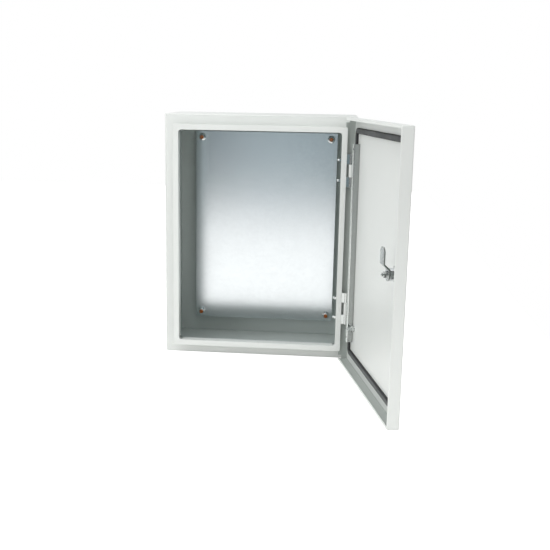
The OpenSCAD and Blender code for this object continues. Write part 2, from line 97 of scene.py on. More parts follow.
class EnclosureFinish(bpy.types.PropertyGroup):
    """Colours of the enclosure's finishes."""

    paint: bpy.props.FloatVectorProperty(
        name="Powder coat", description="Colour of the painted sheet", subtype="COLOR_GAMMA",
        size=3, min=0, max=1, default=(0.880, 0.892, 0.882))
    # Painted shade: the inside of the body takes this darker colour in place of the paint, standing for the shade
    # that falls inside it.
    cavity_shade_paint: bpy.props.FloatVectorProperty(
        name="Inner coat", description="Colour of the thin single coat inside the body",
        subtype="COLOR_GAMMA", size=3, min=0, max=1, default=(0.755, 0.785, 0.775))
    # Painted shade: the inside of the door's folded edges takes this darker colour, standing for the shade that
    # falls in them.
    fold_shade_paint: bpy.props.FloatVectorProperty(
        name="Door's folds", description="Colour of the coat inside the door's folded edges",
        subtype="COLOR_GAMMA", size=3, min=0, max=1, default=(0.680, 0.705, 0.690))
    galvanised: bpy.props.FloatVectorProperty(
        name="Galvanised sheet", description="Colour of the mounting plate", subtype="COLOR_GAMMA",
        size=3, min=0, max=1, default=(0.925, 0.940, 0.950))
    strip: bpy.props.FloatVectorProperty(
        name="Galvanised strip", description="Colour of the door's stiffener",
        subtype="COLOR_GAMMA", size=3, min=0, max=1, default=(0.955, 0.970, 0.962))
    zinc: bpy.props.FloatVectorProperty(
        name="Zinc plating", description="Colour of the plated hardware", subtype="COLOR_GAMMA",
        size=3, min=0, max=1, default=(0.800, 0.818, 0.826))
    copper: bpy.props.FloatVectorProperty(
        name="Copper flash", description="Colour of the weld studs", subtype="COLOR_GAMMA",
        size=3, min=0, max=1, default=(0.760, 0.440, 0.250))
    foam: bpy.props.FloatVectorProperty(
        name="Foam", description="Colour of the door gasket", subtype="COLOR_GAMMA",
        size=3, min=0, max=1, default=(0.365, 0.375, 0.378))
    chrome: bpy.props.FloatVectorProperty(
        name="Chrome plating", description="Colour of the lock's housing", subtype="COLOR_GAMMA",
        size=3, min=0, max=1, default=(0.850, 0.860, 0.870))


class EnclosureDetail(bpy.types.PropertyGroup):
    """Sizes of the detail added to the frame."""

    sheet_edge: bpy.props.FloatProperty(
        name="Sheet edge", description="Radius of the paint on a sheared sheet edge",
        default=0.35 * MM, min=0.1 * MM, max=0.7 * MM, unit="LENGTH", precision=5)
    hardware_edge: bpy.props.FloatProperty(
        name="Hardware edge", description="Radius on the edges of plated hardware",
        default=0.25 * MM, min=0.1 * MM, max=0.5 * MM, unit="LENGTH", precision=5)
    paint_grain: bpy.props.FloatProperty(
        name="Paint grain", description="Size of the powder coat's fine texture",
        default=0.9 * MM, min=0.3 * MM, max=3 * MM, unit="LENGTH", precision=5)
    spangle: bpy.props.FloatProperty(
        name="Spangle", description="Size of the zinc crystals on the mounting plate",
        default=4 * MM, min=1 * MM, max=20 * MM, unit="LENGTH", precision=5)
    gasket_width: bpy.props.FloatProperty(
        name="Gasket width", description="Width of the foam bead at its foot",
        default=11.6 * MM, min=8 * MM, max=11.9 * MM, unit="LENGTH", precision=5)
    tack_count: bpy.props.IntProperty(
        name="Tack welds", description="Tack welds along each long edge of the back panel",
        default=7, min=2, max=20)


class EnclosureStage(bpy.types.PropertyGroup):
    """The studio round the enclosure."""

    overhead_power: bpy.props.FloatProperty(
        name="Overhead lamp", description="Power of the large soft lamp above the front",
        default=36, min=0, max=500, unit="POWER")
    left_power: bpy.props.FloatProperty(
        name="Left lamp", description="Power of the large soft lamp at the front left",
        default=17.5, min=0, max=500, unit="POWER")
    right_power: bpy.props.FloatProperty(
        name="Right lamp", description="Power of the large soft lamp at the front right",
        default=2.5, min=0, max=500, unit="POWER")
    low_power: bpy.props.FloatProperty(
        name="Low lamp", description="Power of the small lamp beside the door's free edge",
        default=0.10, min=0, max=100, unit="POWER")
    room_light: bpy.props.FloatProperty(
        name="Room light", description="Strength of the light from all round",
        default=0.58, min=0, max=2)
    room_front: bpy.props.FloatVectorProperty(
        name="Room in front", description="What bare metal mirrors of the room straight in front",
        subtype="COLOR_GAMMA", size=3, min=0, max=1, default=(0.76, 0.82, 0.845))
    room_flank: bpy.props.FloatVectorProperty(
        name="Room at the right",
        description="What bare metal mirrors of the room right of the front",
        subtype="COLOR_GAMMA", size=3, min=0, max=1, default=(0.47, 0.53, 0.55))
    room_flags: bpy.props.FloatVectorProperty(
        name="Dark flags", description="What bare metal mirrors either side of the room in front",
        subtype="COLOR_GAMMA", size=3, min=0, max=1, default=(0.09, 0.10, 0.11))
    floor_reach: bpy.props.FloatProperty(
        name="Floor reach", description="How far the pale floor reaches in front of the enclosure",
        default=2.2, min=0.5, max=10, unit="LENGTH")


# ---------------------------------------------------------------- materials


def linear(colour):
    """Turns an sRGB hex string, or three sRGB values, to a linear colour."""
    if isinstance(colour, str):
        colour = [int(colour[i:i + 2], 16) / 255 for i in (1, 3, 5)]
    return (*[c / 12.92 if c <= 0.04045 else ((c + 0.055) / 1.055) ** 2.4 for c in colour], 1.0)


def shade(colour, factor):
    """The same sRGB colour made lighter or darker."""
    return [min(1.0, c * factor) for c in colour]


def add_node(tree, kind, sockets=None, **settings):
    """Adds a node, sets its settings, and fills or links its inputs by name or number."""
    node = tree.nodes.new(kind)
    for name, value in settings.items():
        setattr(node, name, value)
    for name, value in (sockets or {}).items():
        if isinstance(value, bpy.types.NodeSocket):
            tree.links.new(value, node.inputs[name])
        else:
            node.inputs[name].default_value = value
    return node


def new_material(name):
    """A material with an empty node tree, and its tree."""
    material = bpy.data.materials.new(name)
    material.use_nodes = True
    material.node_tree.nodes.clear()
    return material, material.node_tree


def finish(tree, base, roughness, metallic=0.0, normal=None):
    """Ends a material: roughness is a 0 to 1 socket and the two values that it runs between."""
    value, low, high = roughness
    rough = add_node(tree, "ShaderNodeMapRange", {"Value": value, "To Min": low, "To Max": high})
    sockets = {"Base Color": base, "Roughness": rough.outputs["Result"], "Metallic": metallic}
    if normal is not None:
        sockets["Normal"] = normal
    surface = add_node(tree, "ShaderNodeBsdfPrincipled", sockets)
    add_node(tree, "ShaderNodeOutputMaterial", {"Surface": surface.outputs["BSDF"]})


def powder_coat(name, colour, grain, inner=None, cavity=None):
    """Textured polyester powder coat: even colour, a fine pebble and a soft satin sheen.

    Inside a box a darker colour is painted for shade: inner is that colour and cavity the
    middle and half size of the box that it fills, once turned about the hinge.
    """
    material, tree = new_material(name)
    place = add_node(tree, "ShaderNodeTexCoord").outputs["Object"]
    # Pebble of the cured powder, and the slow waviness of hand spraying.
    pebble = add_node(tree, "ShaderNodeTexNoise", {
        "Vector": place, "Scale": 1 / grain, "Detail": 3.0, "Roughness": 0.55})
    peel = add_node(tree, "ShaderNodeTexVoronoi", {
        "Vector": place, "Scale": 1 / (3.5 * grain), "Smoothness": 0.9}, feature="SMOOTH_F1")
    cloud = add_node(tree, "ShaderNodeTexNoise", {
        "Vector": place, "Scale": 1 / (90 * MM), "Detail": 2.0})
    base = add_node(tree, "ShaderNodeMix", {
        FACTOR: cloud.outputs["Fac"], LOW: linear(shade(colour, 0.99)),
        HIGH: linear(shade(colour, 1.01))}, data_type="RGBA")
    # Painted shade: points inside the box take the darker inner colour in place of the paint.
    if inner:
        middle, half, turn = cavity
        shut = add_node(tree, "ShaderNodeVectorRotate", {
            "Vector": place, "Center": HINGE_POINT, "Angle": turn}, rotation_type="Z_AXIS")
        offset = add_node(tree, "ShaderNodeVectorMath", {
            0: shut.outputs["Vector"], 1: middle}, operation="SUBTRACT")
        away = add_node(tree, "ShaderNodeVectorMath", {
            0: offset.outputs["Vector"]}, operation="ABSOLUTE")
        past = add_node(tree, "ShaderNodeVectorMath", {
            0: away.outputs["Vector"], 1: half}, operation="SUBTRACT")
        over = add_node(tree, "ShaderNodeSeparateXYZ", {"Vector": past.outputs["Vector"]}).outputs
        flat = add_node(tree, "ShaderNodeMath", {
            0: over["Y"], 1: over["Z"]}, operation="MAXIMUM")
        furthest = add_node(tree, "ShaderNodeMath", {
            0: over["X"], 1: flat.outputs["Value"]}, operation="MAXIMUM")
        inside = add_node(tree, "ShaderNodeMath", {
            0: furthest.outputs["Value"], 1: 0.0}, operation="LESS_THAN")
        base = add_node(tree, "ShaderNodeMix", {
            FACTOR: inside.outputs["Value"], LOW: base.outputs[MIXED],
            HIGH: linear(inner)}, data_type="RGBA")
    speck = add_node(tree, "ShaderNodeMath", {
        0: pebble.outputs["Fac"], 1: 0.70}, operation="GREATER_THAN")
    faint = add_node(tree, "ShaderNodeMath", {
        0: speck.outputs["Value"], 1: 0.08}, operation="MULTIPLY")
    base = add_node(tree, "ShaderNodeMix", {
        FACTOR: faint.outputs["Value"], LOW: base.outputs[MIXED],
        HIGH: linear(shade(colour, 0.80))}, data_type="RGBA")
    fine = add_node(tree, "ShaderNodeMath", {
        0: pebble.outputs["Fac"], 1: 0.6}, operation="MULTIPLY")
    slow = add_node(tree, "ShaderNodeMath", {
        0: peel.outputs["Distance"], 1: 0.5}, operation="MULTIPLY")
    height = add_node(tree, "ShaderNodeMath", {
        0: fine.outputs["Value"], 1: slow.outputs["Value"]}, operation="ADD")
    bump = add_node(tree, "ShaderNodeBump", {
        "Height": height.outputs["Value"], "Strength": 0.4, "Distance": 0.04 * MM})
    finish(tree, base.outputs[MIXED], (cloud.outputs["Fac"], 0.30, 0.38),
           normal=bump.outputs["Normal"])
    return material


def galvanised_sheet(name, colour, spangle, shine, unshaded_facing=None):
    """Skin-passed galvanised sheet: faint small crystals, rolling streaks and a few dark specks.

    shine is its roughness; the skin pass flattens the crystals, so they show in tone alone.
    Faces that turn away from the last argument's direction are darkened as painted shade.
    """
    material, tree = new_material(name)
    coordinates = add_node(tree, "ShaderNodeTexCoord").outputs
    place = coordinates["Object"]
    wobble = add_node(tree, "ShaderNodeTexNoise", {
        "Vector": place, "Scale": 1 / spangle, "Detail": 2.0})
    sway = add_node(tree, "ShaderNodeVectorMath", {
        0: wobble.outputs["Color"], 3: 0.5 * spangle}, operation="SCALE")
    bent = add_node(tree, "ShaderNodeVectorMath", {
        0: place, 1: sway.outputs["Vector"]}, operation="ADD")
    crystal = add_node(tree, "ShaderNodeTexVoronoi", {
        "Vector": bent.outputs["Vector"], "Scale": 1 / spangle})
    tone = add_node(tree, "ShaderNodeSeparateColor", {"Color": crystal.outputs["Color"]})
    # Rolling streaks run up the sheet, so the pattern is stretched in Z.
    stretched = add_node(tree, "ShaderNodeMapping", {"Vector": place, "Scale": (1.0, 1.0, 0.04)})
    streak = add_node(tree, "ShaderNodeTexNoise", {
        "Vector": stretched.outputs["Vector"], "Scale": 1 / (2.5 * MM), "Detail": 3.0})
    patch = add_node(tree, "ShaderNodeTexNoise", {
        "Vector": place, "Scale": 1 / (55 * MM), "Detail": 4.0, "Roughness": 0.6})
    grain = add_node(tree, "ShaderNodeTexNoise", {
        "Vector": place, "Scale": 1 / (0.9 * MM), "Detail": 2.0})
    speck = add_node(tree, "ShaderNodeTexNoise", {
        "Vector": place, "Scale": 1 / (2.2 * MM), "Detail": 1.0})
    dot = add_node(tree, "ShaderNodeMath", {
        0: speck.outputs["Fac"], 1: 0.77}, operation="GREATER_THAN")
    base = add_node(tree, "ShaderNodeMix", {
        FACTOR: tone.outputs["Red"], LOW: linear(shade(colour, 0.985)),
        HIGH: linear(shade(colour, 1.01))}, data_type="RGBA")
    layers = [(streak.outputs["Fac"], 0.12, 0.90), (grain.outputs["Fac"], 0.12, 0.88),
              (dot.outputs["Value"], 0.45, 0.55)]
    if unshaded_facing:
        # Painted shade: faces turned away from the given direction take a darker tone.
        facing = add_node(tree, "ShaderNodeVectorMath", {
            0: coordinates["Normal"], 1: unshaded_facing}, operation="DOT_PRODUCT")
        bloom_and_shade = add_node(tree, "ShaderNodeMath", {
            0: facing.outputs["Value"], 1: 0.6}, operation="LESS_THAN")
        layers.append((bloom_and_shade.outputs["Value"], 0.8, 0.60))
    for mask, amount, tint in layers:
        share = add_node(tree, "ShaderNodeMath", {0: mask, 1: amount}, operation="MULTIPLY")
        base = add_node(tree, "ShaderNodeMix", {
            FACTOR: share.outputs["Value"], LOW: base.outputs[MIXED],
            HIGH: linear(shade(colour, tint))}, data_type="RGBA")
    finish(tree, base.outputs[MIXED], (patch.outputs["Fac"], shine - 0.02, shine + 0.02),
           metallic=1.0)
    return material


def zinc_plating(name, colour, shine):
    """Bright zinc plate: blue-white with faint straw passivation and a soft shine."""
    material, tree = new_material(name)
    place = add_node(tree, "ShaderNodeTexCoord").outputs["Object"]
    cloud = add_node(tree, "ShaderNodeTexNoise", {
        "Vector": place, "Scale": 1 / (4 * MM), "Detail": 3.0})
    grain = add_node(tree, "ShaderNodeTexNoise", {
        "Vector": place, "Scale": 1 / (0.5 * MM), "Detail": 2.0})
    straw = [colour[0], colour[1] * 0.97, colour[2] * 0.90]
    film = add_node(tree, "ShaderNodeMapRange", {
        "Value": cloud.outputs["Fac"], "To Min": 0.0, "To Max": 0.5})
    base = add_node(tree, "ShaderNodeMix", {
        FACTOR: film.outputs["Result"], LOW: linear(colour), HIGH: linear(straw)},
        data_type="RGBA")
    bump = add_node(tree, "ShaderNodeBump", {
        "Height": grain.outputs["Fac"], "Strength": 0.06, "Distance": 0.02 * MM})
    finish(tree, base.outputs[MIXED], (cloud.outputs["Fac"], shine - 0.03, shine + 0.03),
           metallic=1.0, normal=bump.outputs["Normal"])
    return material


def copper_flash(name, colour):
    """Copper-flashed weld stud: warm copper, dulled, with silver patches at random for wear and a painted
    highlight.
    """
    material, tree = new_material(name)
    place = add_node(tree, "ShaderNodeTexCoord").outputs["Object"]
    wear_and_highlight = add_node(tree, "ShaderNodeTexNoise", {
        "Vector": place, "Scale": 1 / (2.2 * MM), "Detail": 3.0})
    # Wear and painted highlight: silver patches scattered by noise.
    worn_and_highlight = add_node(tree, "ShaderNodeMath", {
        0: wear_and_highlight.outputs["Fac"], 1: 0.60}, operation="GREATER_THAN")
    share = add_node(tree, "ShaderNodeMath", {
        0: worn_and_highlight.outputs["Value"], 1: 0.6}, operation="MULTIPLY")
    base = add_node(tree, "ShaderNodeMix", {
        FACTOR: wear_and_highlight.outputs["Fac"], LOW: linear(shade(colour, 0.75)),
        HIGH: linear(shade(colour, 1.15))}, data_type="RGBA")
    base = add_node(tree, "ShaderNodeMix", {
        FACTOR: share.outputs["Value"], LOW: base.outputs[MIXED],
        HIGH: linear("#C9C6C0")}, data_type="RGBA")
    bump = add_node(tree, "ShaderNodeBump", {
        "Height": wear_and_highlight.outputs["Fac"], "Strength": 0.3, "Distance": 0.03 * MM})
    finish(tree, base.outputs[MIXED], (wear_and_highlight.outputs["Fac"], 0.24, 0.38), metallic=1.0,
           normal=bump.outputs["Normal"])
    return material


def poured_foam(name, colour, inward, crown_level):
    """Foamed polyurethane bead: open pores, and painted shade that darkens the flanks below the crown."""
    material, tree = new_material(name)
    place = add_node(tree, "ShaderNodeTexCoord").outputs["Object"]
    pore = add_node(tree, "ShaderNodeTexVoronoi", {"Vector": place, "Scale": 1 / (0.8 * MM)})
    cloud = add_node(tree, "ShaderNodeTexNoise", {
        "Vector": place, "Scale": 1 / (14 * MM), "Detail": 3.0})
    level = add_node(tree, "ShaderNodeVectorMath", {0: place, 1: inward}, operation="DOT_PRODUCT")
    # Painted shade: everything below the crown is darkened, and the crown keeps the foam's colour.
    crown = add_node(tree, "ShaderNodeMapRange", {
        "Value": level.outputs["Value"], "From Min": crown_level - 0.7 * MM,
        "From Max": crown_level - 0.1 * MM})
    base = add_node(tree, "ShaderNodeMix", {
        FACTOR: crown.outputs["Result"], LOW: linear(shade(colour, 0.32)),
        HIGH: linear(colour)}, data_type="RGBA")
    hole = add_node(tree, "ShaderNodeMath", {
        0: pore.outputs["Distance"], 1: 0.22}, operation="LESS_THAN")
    for mask, amount, tint in (
            (cloud.outputs["Fac"], 0.35, 0.75), (hole.outputs["Value"], 0.4, 0.35)):
        share = add_node(tree, "ShaderNodeMath", {0: mask, 1: amount}, operation="MULTIPLY")
        base = add_node(tree, "ShaderNodeMix", {
            FACTOR: share.outputs["Value"], LOW: base.outputs[MIXED],
            HIGH: linear(shade(colour, tint))}, data_type="RGBA")
    bump = add_node(tree, "ShaderNodeBump", {
        "Height": pore.outputs["Distance"], "Strength": 0.5, "Distance": 0.10 * MM})
    finish(tree, base.outputs[MIXED], (cloud.outputs["Fac"], 0.50, 0.70),
           normal=bump.outputs["Normal"])
    return material


def chrome_casting(name, colour):
    """Chrome-plated zinc die casting: a bright mirror, slightly uneven over the casting's skin."""
    material, tree = new_material(name)
    place = add_node(tree, "ShaderNodeTexCoord").outputs["Object"]
    grain = add_node(tree, "ShaderNodeTexNoise", {
        "Vector": place, "Scale": 1 / (2.5 * MM), "Detail": 2.0})
    base = add_node(tree, "ShaderNodeMix", {
        FACTOR: grain.outputs["Fac"], LOW: linear(shade(colour, 0.97)),
        HIGH: linear(shade(colour, 1.03))}, data_type="RGBA")
    bump = add_node(tree, "ShaderNodeBump", {
        "Height": grain.outputs["Fac"], "Strength": 0.1, "Distance": 0.05 * MM})
    finish(tree, base.outputs[MIXED], (grain.outputs["Fac"], 0.10, 0.18), metallic=1.0,
           normal=bump.outputs["Normal"])
    return material


def painted_lance_shade(name):
    """Near-black dull steel for the lanced slivers: painted shade standing for the lance gaps."""
    material, tree = new_material(name)
    place = add_node(tree, "ShaderNodeTexCoord").outputs["Object"]
    tear = add_node(tree, "ShaderNodeTexNoise", {
        "Vector": place, "Scale": 1 / (0.6 * MM), "Detail": 2.0})
    # Painted shade: near-black tones standing for the dark lance gaps.
    base = add_node(tree, "ShaderNodeMix", {
        FACTOR: tear.outputs["Fac"], LOW: linear("#2E3234"), HIGH: linear("#55595A")},
        data_type="RGBA")
    finish(tree, base.outputs[MIXED], (tear.outputs["Fac"], 0.45, 0.65))
    return material


def moulded_rubber(name):
    """Nitrile rubber seal: near black with a soft bloom."""
    material, tree = new_material(name)
    place = add_node(tree, "ShaderNodeTexCoord").outputs["Object"]
    bloom_and_shade = add_node(tree, "ShaderNodeTexNoise", {
        "Vector": place, "Scale": 1 / (3 * MM), "Detail": 3.0})
    base = add_node(tree, "ShaderNodeMix", {
        FACTOR: bloom_and_shade.outputs["Fac"], LOW: linear("#141516"), HIGH: linear("#26282A")},
        data_type="RGBA")
    bump = add_node(tree, "ShaderNodeBump", {
        "Height": bloom_and_shade.outputs["Fac"], "Strength": 0.2, "Distance": 0.05 * MM})
    finish(tree, base.outputs[MIXED], (bloom_and_shade.outputs["Fac"], 0.5, 0.7),
           normal=bump.outputs["Normal"])
    return material


def get_material(name):
    """Each finish, made once from the panel's settings."""
    if name in bpy.data.materials:
        return bpy.data.materials[name]
    colours = bpy.context.scene.enclosure_finish
    detail = bpy.context.scene.enclosure_detail
    low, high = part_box("body_shell")
    wall = Vector((0.8, 0.8, 0.8)) * MM
    cavity = ((low + high) / 2, (high - low) / 2 - wall, 0.0)
    # Painted shade: the box inside the door's folded edges, shut, where the darker colour goes.
    fold_shade_box = (Vector((0, DOOR_SKIN + 9.6 * MM, 0)), Vector((193.2, 9.4, 248.2)) * MM, -OPEN_ANGLE)
    crown_level = INWARD.dot(TO_OPEN @ Vector((0, GASKET_CROWN, 0)))
    makers = {
        "powder_coat_light_grey": lambda: powder_coat(name, colours.paint, detail.paint_grain),
        "powder_coat_door": lambda: powder_coat(
            name, colours.paint, detail.paint_grain, colours.fold_shade_paint, fold_shade_box),
        "powder_coat_body": lambda: powder_coat(
            name, colours.paint, detail.paint_grain, colours.cavity_shade_paint, cavity),
        "hot_dip_galvanised": lambda: galvanised_sheet(
            name, colours.galvanised, detail.spangle, 0.22),
        "galvanised_strip": lambda: galvanised_sheet(
            name, colours.strip, detail.spangle, 0.20, INWARD),
        "bright_zinc_plate": lambda: zinc_plating(name, colours.zinc, 0.11),
        "dull_zinc_plate": lambda: zinc_plating(name, shade(colours.zinc, 0.92), 0.20),
        "copper_flashed_steel": lambda: copper_flash(name, colours.copper),
        "foamed_polyurethane": lambda: poured_foam(name, colours.foam, INWARD, crown_level),
        "chrome_plated_casting": lambda: chrome_casting(name, colours.chrome),
        "nitrile_rubber": lambda: moulded_rubber(name),
        "painted_lance_shade": lambda: painted_lance_shade(name),
    }
    return makers[name]()


# ---------------------------------------------------------------- meshes


def new_object(name, mesh, material, body):
    """Links a mesh that is already in place, gives it its finish and lets it ride on its body."""
    obj = bpy.data.objects.new(name, mesh)
    bpy.context.scene.collection.objects.link(obj)
    mesh.materials.clear()
    mesh.materials.append(get_material(material))
    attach(obj, body)
    return obj


def baked(obj):
    """The evaluated mesh of an object, which is then removed."""
    bpy.context.view_layer.update()
    mesh = bpy.data.meshes.new_from_object(
        obj.evaluated_get(bpy.context.evaluated_depsgraph_get()))
    bpy.data.objects.remove(obj)
    return mesh


def softened(mesh, edge, held=None):
    """Rounds the sharp edges of a mesh and gives it even shading.

    held tells, of an edge's two ends, whether it stays sharp because another piece of the
    same sheet carries on beyond it.
    """
    mesh.shade_smooth()
    shell = bmesh.new()
    shell.from_mesh(mesh)
    weight = shell.edges.layers.float.new("bevel_weight_edge")
    for bend in shell.edges:
        if bend.is_manifold and bend.calc_face_angle() > math.radians(40):
            bend[weight] = 0.0 if held and held(*(v.co for v in bend.verts)) else 1.0
    shell.to_mesh(mesh)
    shell.free()
    obj = bpy.data.objects.new("softening", mesh)
    bpy.context.scene.collection.objects.link(obj)
    bevel = obj.modifiers.new("edge", "BEVEL")
    bevel.width = edge
    bevel.segments = 2
    bevel.limit_method = "WEIGHT"
    bevel.use_clamp_overlap = True
    bevel.miter_outer = "MITER_ARC"
    weighted = obj.modifiers.new("shading", "WEIGHTED_NORMAL")
    weighted.keep_sharp = True
    return baked(obj)


def merged_copy(node):
    """A CAD node's triangles joined into one skin, with its flat faces made whole."""
    shell = bmesh.new()
    shell.from_mesh(NODES[node].data)
    bmesh.ops.remove_doubles(shell, verts=shell.verts, dist=2e-6)
    bmesh.ops.dissolve_limit(
        shell, angle_limit=math.radians(0.4), verts=shell.verts, edges=shell.edges)
    mesh = bpy.data.meshes.new(node + "_skin")
    shell.to_mesh(mesh)
    shell.free()
    return mesh


def dress(node, material, edge, held=None):
    """Stands a softened copy of a CAD node in for it, in its real finish."""
    mesh = softened(merged_copy(node), edge, held)
    obj = new_object(node + "_finished", mesh, material, BODY_OF[node])
    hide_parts(node)
    return obj


def ring_skin(name, rings, looped=False):
    """Joins rings of points into a closed skin: capped at both ends, or looped on itself."""
    skin = bmesh.new()
    loops = [[skin.verts.new(p) for p in ring] for ring in rings]
    count = len(loops[0])
    pairs = list(zip(loops, loops[1:])) + ([(loops[-1], loops[0])] if looped else [])
    for first, second in pairs:
        for i in range(count):
            j = (i + 1) % count
            skin.faces.new((first[i], first[j], second[j], second[i]))
    if not looped:
        skin.faces.new(list(reversed(loops[0])))
        skin.faces.new(loops[-1])
    bmesh.ops.recalc_face_normals(skin, faces=skin.faces)
    mesh = bpy.data.meshes.new(name)
    skin.to_mesh(mesh)
    skin.free()
    mesh.shade_smooth()
    mesh.set_sharp_from_angle(angle=math.radians(38))
    return mesh


def ring(count, height, radius):
    """Points round the Z axis; radius is a number or a function of the angle."""
    points = []
    for i in range(count):
        turn = 2 * math.pi * i / count
        r = radius(turn) if callable(radius) else radius
        points.append(Vector((r * math.cos(turn), r * math.sin(turn), height)))
    return points


def hexagon(across_flats, limit=None):
    """Radius of a hexagon by angle, cut to a circle where a chamfer limits it."""
    def radius(turn):
        step = (turn + math.pi / 6) % (math.pi / 3) - math.pi / 6
        r = across_flats / 2 / math.cos(step)
        return min(r, limit) if limit else r
    return radius


def hex_piece(name, across_flats, thickness, bore=None, face=0.94):
    """A nut, or a bolt's head where bore is left out, standing on z = 0 with chamfered corners."""
    corner = across_flats / 2 / math.cos(math.pi / 6)
    flat = face * across_flats / 2
    rise = (corner - flat) * math.tan(math.radians(30))
    steps = 4
    levels = [(rise * i / steps, flat + (corner - flat) * i / steps) for i in range(steps + 1)]
    rings = [ring(72, z, hexagon(across_flats, r)) for z, r in levels]
    rings += [ring(72, thickness - z, hexagon(across_flats, r)) for z, r in reversed(levels)]
    if bore is None:
        return ring_skin(name, rings)
    cut = 0.09 * bore
    rings += [ring(72, thickness, bore + cut), ring(72, thickness - cut, bore)]
    rings += [ring(72, cut, bore), ring(72, 0, bore + cut)]
    return ring_skin(name, rings, looped=True)


def threaded_rod(name, radius, start, end, pitch, from_z):
    """A rod from start to end whose helical thread begins at from_z, with a pointed lead."""
    depth = 0.54 * pitch
    lead = 1.2 * depth
    def crest(z):
        def at(turn):
            phase = (z / pitch - turn / (2 * math.pi)) % 1.0
            dip = depth * abs(2 * phase - 1) if z >= from_z else 0
            return min(radius - dip, radius - max(0.0, lead - (end - z)))
        return at
    per_pitch = 8
    count = int((end - from_z) / pitch * per_pitch)
    heights = [start] + [from_z + (end - from_z) * i / count for i in range(count + 1)]
    return ring_skin(name, [ring(40, z, crest(z)) for z in heights])


def washer_piece(name, radius, bore, thickness):
    """A flat washer with a rounded stamped edge on one face."""
    soft = 0.25 * thickness
    rings = [ring(56, 0, bore), ring(56, 0, radius - soft * 0.3), ring(56, soft * 0.3, radius),
             ring(56, thickness - soft, radius),
             ring(56, thickness - soft * 0.3, radius - soft * 0.3),
             ring(56, thickness, radius - soft), ring(56, thickness, bore)]
    return ring_skin(name, rings, looped=True)


def stood_at(mesh, place, axis, turn=0.0):
    """Moves a mesh drawn on the Z axis to a place in the frame, with Z along axis."""
    axis = Vector(axis).normalized()
    mesh.transform(
        Matrix.Translation(place) @ axis.to_track_quat("Z", "Y").to_matrix().to_4x4()
        @ Matrix.Rotation(turn, 4, "Z"))
    return mesh


def joined(name, meshes):
    """Several meshes as one."""
    whole = bmesh.new()
    for mesh in meshes:
        whole.from_mesh(mesh)
    result = bpy.data.meshes.new(name)
    whole.to_mesh(result)
    whole.free()
    return result


# ---------------------------------------------------------------- repeats


def on_door(mesh):
    """Turns a mesh drawn on the shut door to where the door stands."""
    mesh.transform(TO_OPEN)
    return mesh


def rows_and_columns():
    """Node tree that sets a piece out in rows and columns, as fasteners on a panel are."""
    if "rows_and_columns" in bpy.data.node_groups:
        return bpy.data.node_groups["rows_and_columns"]
    tree = bpy.data.node_groups.new("rows_and_columns", "GeometryNodeTree")
    face = tree.interface
    face.new_socket("Geometry", in_out="INPUT", socket_type="NodeSocketGeometry")
    for name, kind in (
            ("Piece", "NodeSocketObject"), ("First place", "NodeSocketVector"),
            ("Columns", "NodeSocketInt"), ("Column step", "NodeSocketVector"),
            ("Rows", "NodeSocketInt"), ("Row step", "NodeSocketVector"),
            ("Turn spread", "NodeSocketFloat"), ("Seed", "NodeSocketInt"),
            ("Finish", "NodeSocketMaterial")):
        face.new_socket(name, in_out="INPUT", socket_type=kind)
    face.new_socket("Geometry", in_out="OUTPUT", socket_type="NodeSocketGeometry")
    given = add_node(tree, "NodeGroupInput").outputs
    columns = add_node(tree, "GeometryNodeMeshLine", {
        "Count": given["Columns"], "Start Location": given["First place"],
        "Offset": given["Column step"]})
    rows = add_node(tree, "GeometryNodeMeshLine", {
        "Count": given["Rows"], "Offset": given["Row step"]})
    grid = add_node(tree, "GeometryNodeInstanceOnPoints", {
        "Points": columns.outputs["Mesh"], "Instance": rows.outputs["Mesh"]})
    places = add_node(tree, "GeometryNodeRealizeInstances", {
        "Geometry": grid.outputs["Instances"]})
    piece = add_node(tree, "GeometryNodeObjectInfo", {"Object": given["Piece"]})
    # Hand-tightened hexagons stop at any angle, so each is turned by its own amount about Y.
    turn = add_node(tree, "FunctionNodeRandomValue", {
        "Max": given["Turn spread"], "Seed": given["Seed"]}, data_type="FLOAT")
    value = next(s for s in turn.outputs if s.enabled and s.type == "VALUE")
    turned = add_node(tree, "ShaderNodeCombineXYZ", {"Y": value})
    set_out = add_node(tree, "GeometryNodeInstanceOnPoints", {
        "Points": places.outputs["Geometry"], "Instance": piece.outputs["Geometry"],
        "Rotation": turned.outputs["Vector"]})
    real = add_node(tree, "GeometryNodeRealizeInstances", {
        "Geometry": set_out.outputs["Instances"]})
    painted = add_node(tree, "GeometryNodeSetMaterial", {
        "Geometry": real.outputs["Geometry"], "Material": given["Finish"]})
    add_node(tree, "NodeGroupOutput", {"Geometry": painted.outputs["Geometry"]})
    return tree


def set_out(name, mesh, finish_name, slot, body, replaces, first, columns, rows, turn=0.0):
    """Repeats a mesh in rows and columns, and makes the result one plain piece."""
    piece = bpy.data.objects.new(name + "_master", mesh)
    carrier = bpy.data.objects.new(name + "_carrier", bpy.data.meshes.new(name))
    bpy.context.scene.collection.objects.link(carrier)
    bpy.context.scene.collection.objects.link(piece)
    tree = rows_and_columns()
    modifier = carrier.modifiers.new("set_out", "NODES")
    modifier.node_group = tree
    values = {
        "Piece": piece, "First place": first, "Columns": columns[0], "Column step": columns[1],
        "Rows": rows[0], "Row step": rows[1], "Turn spread": turn, "Seed": 4,
        "Finish": get_material(finish_name)}
    for socket in tree.interface.items_tree:
        if socket.in_out == "INPUT" and socket.name in values:
            modifier[socket.identifier] = values[socket.name]
    result = baked(carrier)
    bpy.data.objects.remove(piece)
    obj = new_object(name, result, finish_name, body)
    if replaces:
        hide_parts(*replaces)
    return obj


# ---------------------------------------------------------------- pieces


